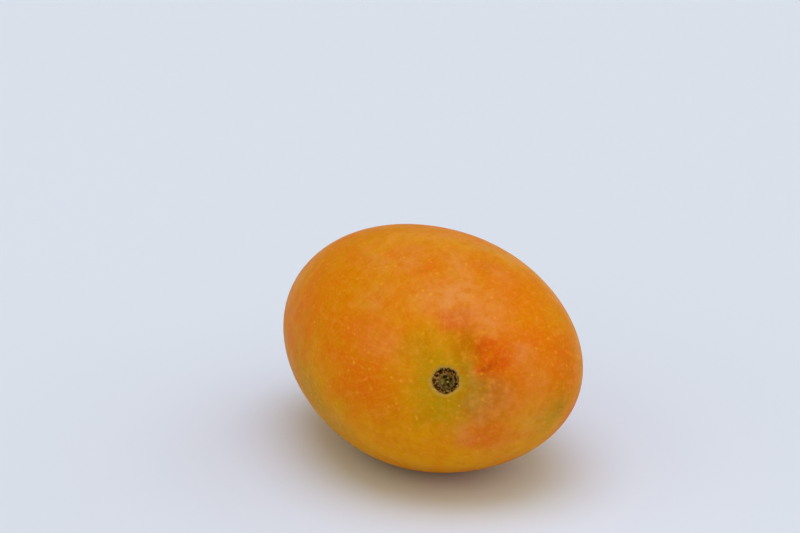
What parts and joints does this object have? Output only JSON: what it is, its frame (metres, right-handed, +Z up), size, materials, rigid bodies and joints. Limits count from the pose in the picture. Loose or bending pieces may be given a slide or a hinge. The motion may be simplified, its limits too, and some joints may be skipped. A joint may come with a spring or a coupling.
{
  "type": "mango",
  "caption": "Ripe ovate mango lying on its cheek, slightly flattened from cheek to cheek, with a round stem scar beside the blunt end and a small flat spot underneath.",
  "frame": {"origin": "middle of the bounding box's base, on the plane of the flat spot that the fruit lies on", "axes": "+Z up through the upper cheek, +Y along the long axis from the stem end to the tip, +X towards the full shoulder, so the stem scar faces -Y and -X"},
  "size_m": [0.0708, 0.1014, 0.0624],
  "materials": {
    "skin": "waxy fruit skin, satin, yellow-orange with a red blush, olive round the stem scar and fine pale dots"
  },
  "bodies": {
    "root": {"mango": "skin"}
  },
  "joints": []
}
